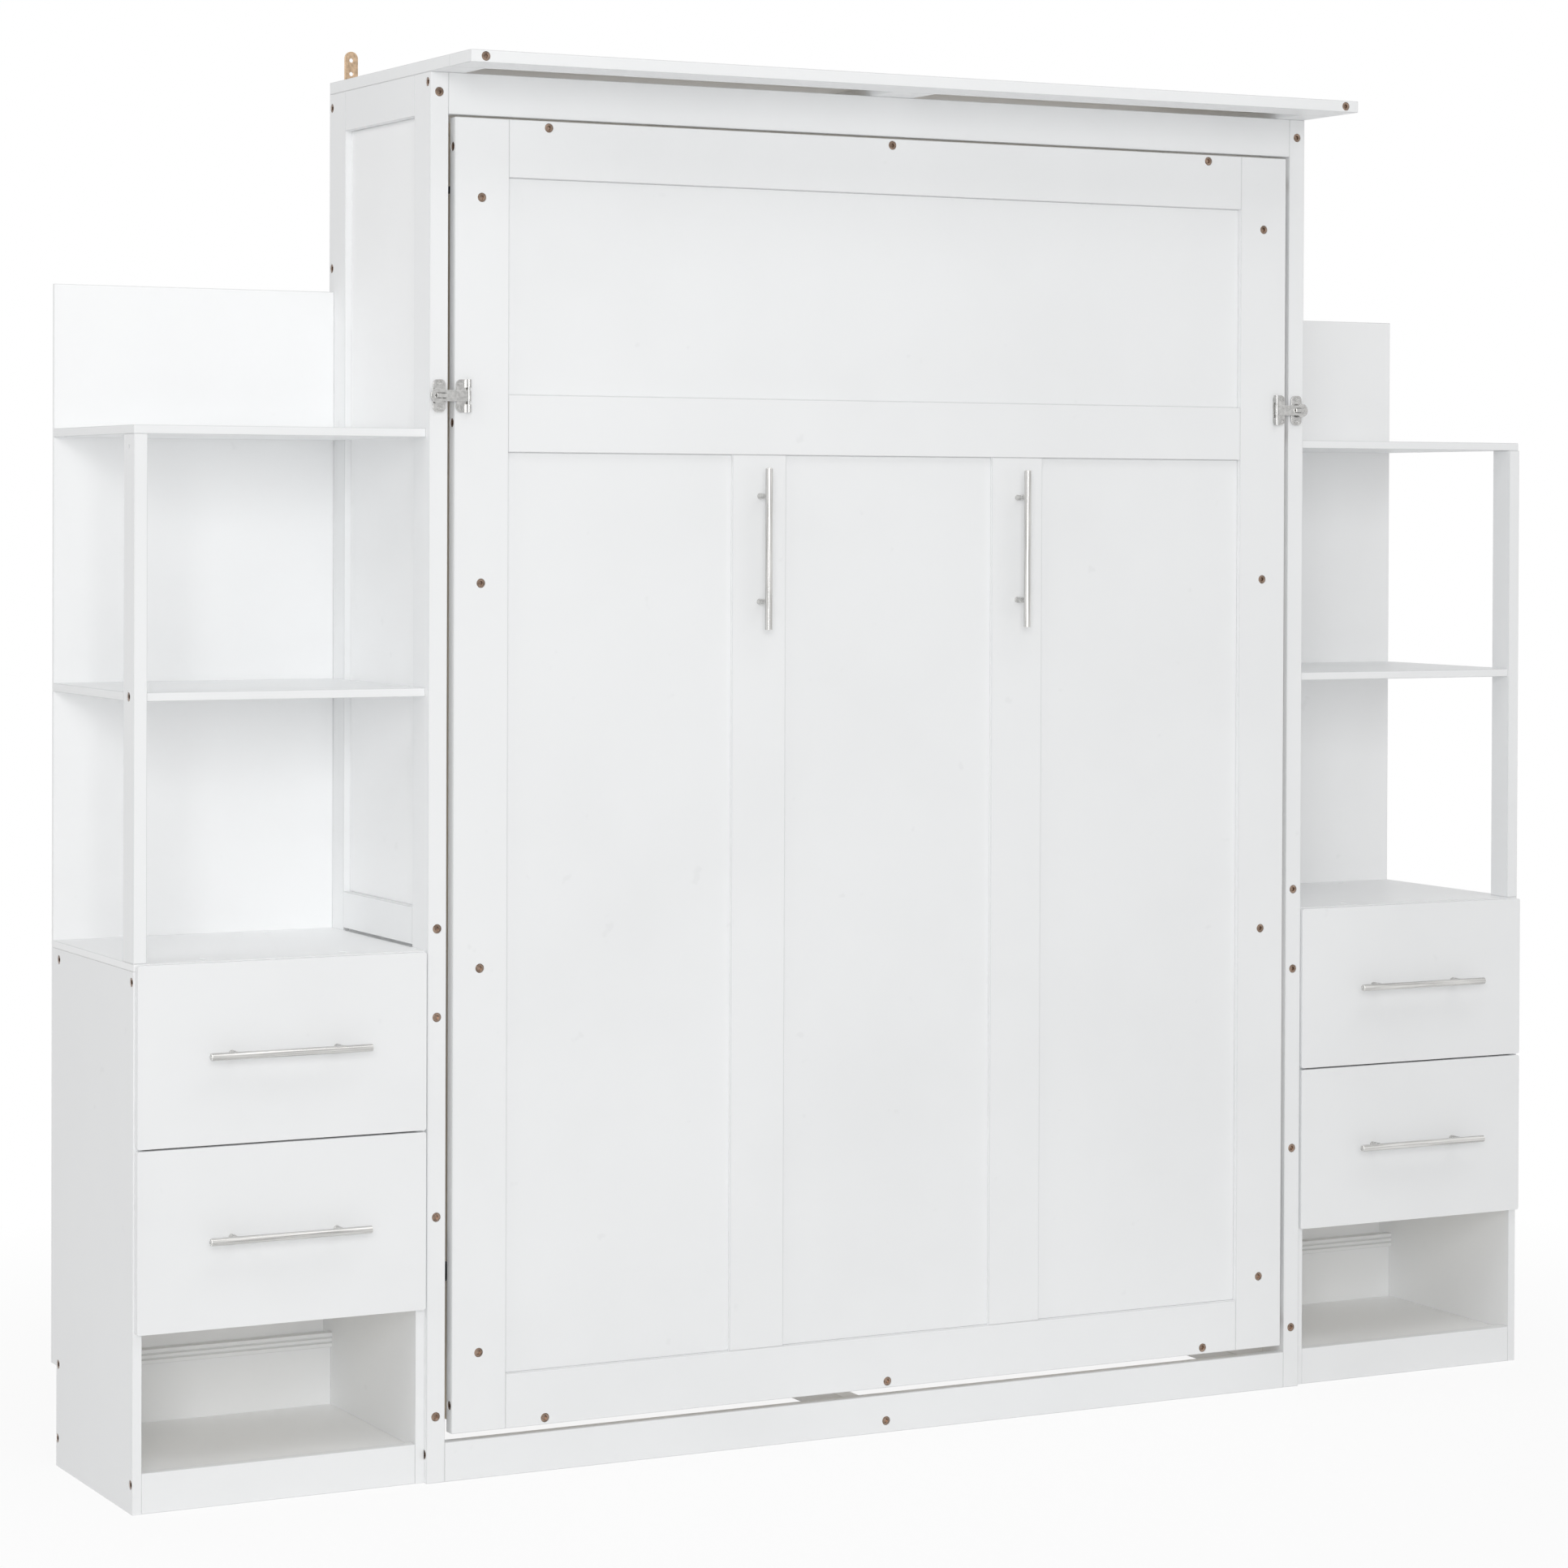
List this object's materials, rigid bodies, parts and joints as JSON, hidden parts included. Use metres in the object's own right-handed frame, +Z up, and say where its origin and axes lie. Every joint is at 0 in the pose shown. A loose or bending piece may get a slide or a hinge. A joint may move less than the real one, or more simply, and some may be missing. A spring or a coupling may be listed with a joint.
{
  "type": "wall bed",
  "caption": "White wooden wall bed that folds up behind a panelled face in a cabinet with a crown, flanked by drawer towers with open shelves.",
  "frame": {"origin": "on the floor, at the middle of the overall width and of the overall depth", "axes": "+X to the right along the wall, +Y from the front to the wall, +Z up; bed folded up at rest"},
  "size_m": [2.67, 0.604, 2.345],
  "materials": {
    "white_paint": "satin white paint on wood",
    "raw_wood": "bare sanded wood",
    "handle_steel": "brushed",
    "latch_metal": "satin nickel plate",
    "black_steel": "black powder coat",
    "bolt_bronze": "bronze plated",
    "bracket_zinc": "yellow zinc plate"
  },
  "bodies": {
    "cabinet": {"cabinet_front_stile_left": "white_paint", "cabinet_front_stile_right": "white_paint", "cabinet_rear_stiles": "white_paint", "cabinet_side_rails": "white_paint", "cabinet_side_panels": "white_paint", "cabinet_lower_boards": "white_paint", "header_rail": "white_paint", "base_rail": "white_paint", "rear_cross_rails": "white_paint", "floor_stretchers": "white_paint", "crown_front_rail": "white_paint", "crown_arms": "white_paint", "crown_panels": "white_paint", "wall_brackets": "bracket_zinc", "pivot_plates": "black_steel", "latch_keeper_plates": "latch_metal", "latch_keeper_screws": "latch_metal", "tower_side_panels": "white_paint", "tower_decks": "white_paint", "tower_front_rails": "white_paint", "tower_back_panels": "white_paint", "tower_back_battens": "white_paint", "tower_shelves": "white_paint", "tower_posts": "white_paint", "drawer_runners": "raw_wood", "cabinet_bolts": "bolt_bronze"},
    "bed": {"bed_face_stiles": "white_paint", "bed_face_rails": "white_paint", "bed_face_panels": "white_paint", "bed_face_battens": "white_paint", "bed_side_rails": "raw_wood", "bed_end_rails": "raw_wood", "bed_centre_beam": "raw_wood", "bed_slats": "raw_wood", "bed_handles": "handle_steel", "bed_hinge_plates": "black_steel", "latch_hinge_plates": "latch_metal", "latch_hinge_screws": "latch_metal", "bed_bolts": "bolt_bronze"},
    "leg_left": {"leg_left": "black_steel"},
    "leg_link_left": {"leg_link_left": "black_steel"},
    "latch_arm_left": {"latch_arm_left": "latch_metal"},
    "latch_knob_left": {"latch_knob_left": "latch_metal"},
    "leg_right": {"leg_right": "black_steel"},
    "leg_link_right": {"leg_link_right": "black_steel"},
    "latch_arm_right": {"latch_arm_right": "latch_metal"},
    "latch_knob_right": {"latch_knob_right": "latch_metal"},
    "drawer_upper_left": {"drawer_front_upper_left": "white_paint", "drawer_box_upper_left": "raw_wood", "drawer_handle_upper_left": "handle_steel"},
    "drawer_upper_right": {"drawer_front_upper_right": "white_paint", "drawer_box_upper_right": "raw_wood", "drawer_handle_upper_right": "handle_steel"},
    "drawer_lower_left": {"drawer_front_lower_left": "white_paint", "drawer_box_lower_left": "raw_wood", "drawer_handle_lower_left": "handle_steel"},
    "drawer_lower_right": {"drawer_front_lower_right": "white_paint", "drawer_box_lower_right": "raw_wood", "drawer_handle_lower_right": "handle_steel"}
  },
  "joints": [
    {"name": "bed_fold", "type": "hinge", "parent": "cabinet", "child": "bed", "pos_m": [0, -0.082, 0.33], "axis": [1, 0, 0], "range_deg": [0, 90]},
    {"name": "leg_swing_left", "type": "hinge", "parent": "bed", "child": "leg_left", "pos_m": [-0.8075, -0.088, 2.085], "axis": [1, 0, 0], "range_deg": [-90, 0]},
    {"name": "link_swing_left", "type": "hinge", "parent": "cabinet", "child": "leg_link_left", "pos_m": [-0.799, -0.047, 0.365], "axis": [1, 0, 0], "range_deg": [0, 90]},
    {"name": "latch_swing_left", "type": "hinge", "parent": "bed", "child": "latch_arm_left", "pos_m": [-0.781, -0.149, 1.7505], "axis": [0, 0, 1], "range_deg": [0, 120]},
    {"name": "latch_turn_left", "type": "hinge", "parent": "cabinet", "child": "latch_knob_left", "pos_m": [-0.829, -0.146, 1.7505], "axis": [0, 1, 0], "range_deg": [0, 90]},
    {"name": "leg_swing_right", "type": "hinge", "parent": "bed", "child": "leg_right", "pos_m": [0.8075, -0.088, 2.085], "axis": [1, 0, 0], "range_deg": [-90, 0]},
    {"name": "link_swing_right", "type": "hinge", "parent": "cabinet", "child": "leg_link_right", "pos_m": [0.799, -0.047, 0.365], "axis": [1, 0, 0], "range_deg": [0, 90]},
    {"name": "latch_swing_right", "type": "hinge", "parent": "bed", "child": "latch_arm_right", "pos_m": [0.781, -0.149, 1.7505], "axis": [0, 0, -1], "range_deg": [0, 120]},
    {"name": "latch_turn_right", "type": "hinge", "parent": "cabinet", "child": "latch_knob_right", "pos_m": [0.829, -0.146, 1.7505], "axis": [0, 1, 0], "range_deg": [0, 90]},
    {"name": "drawer_slide_upper_left", "type": "slide", "parent": "cabinet", "child": "drawer_upper_left", "axis": [0, -1, 0], "range_m": [0, 0.3]},
    {"name": "drawer_slide_upper_right", "type": "slide", "parent": "cabinet", "child": "drawer_upper_right", "axis": [0, -1, 0], "range_m": [0, 0.3]},
    {"name": "drawer_slide_lower_left", "type": "slide", "parent": "cabinet", "child": "drawer_lower_left", "axis": [0, -1, 0], "range_m": [0, 0.3]},
    {"name": "drawer_slide_lower_right", "type": "slide", "parent": "cabinet", "child": "drawer_lower_right", "axis": [0, -1, 0], "range_m": [0, 0.3]}
  ],
  "couplings": [
    {"joint": "leg_swing_left", "follows": "bed_fold", "ratio": -1},
    {"joint": "link_swing_left", "follows": "bed_fold", "ratio": 1},
    {"joint": "leg_swing_right", "follows": "bed_fold", "ratio": -1},
    {"joint": "link_swing_right", "follows": "bed_fold", "ratio": 1}
  ]
}
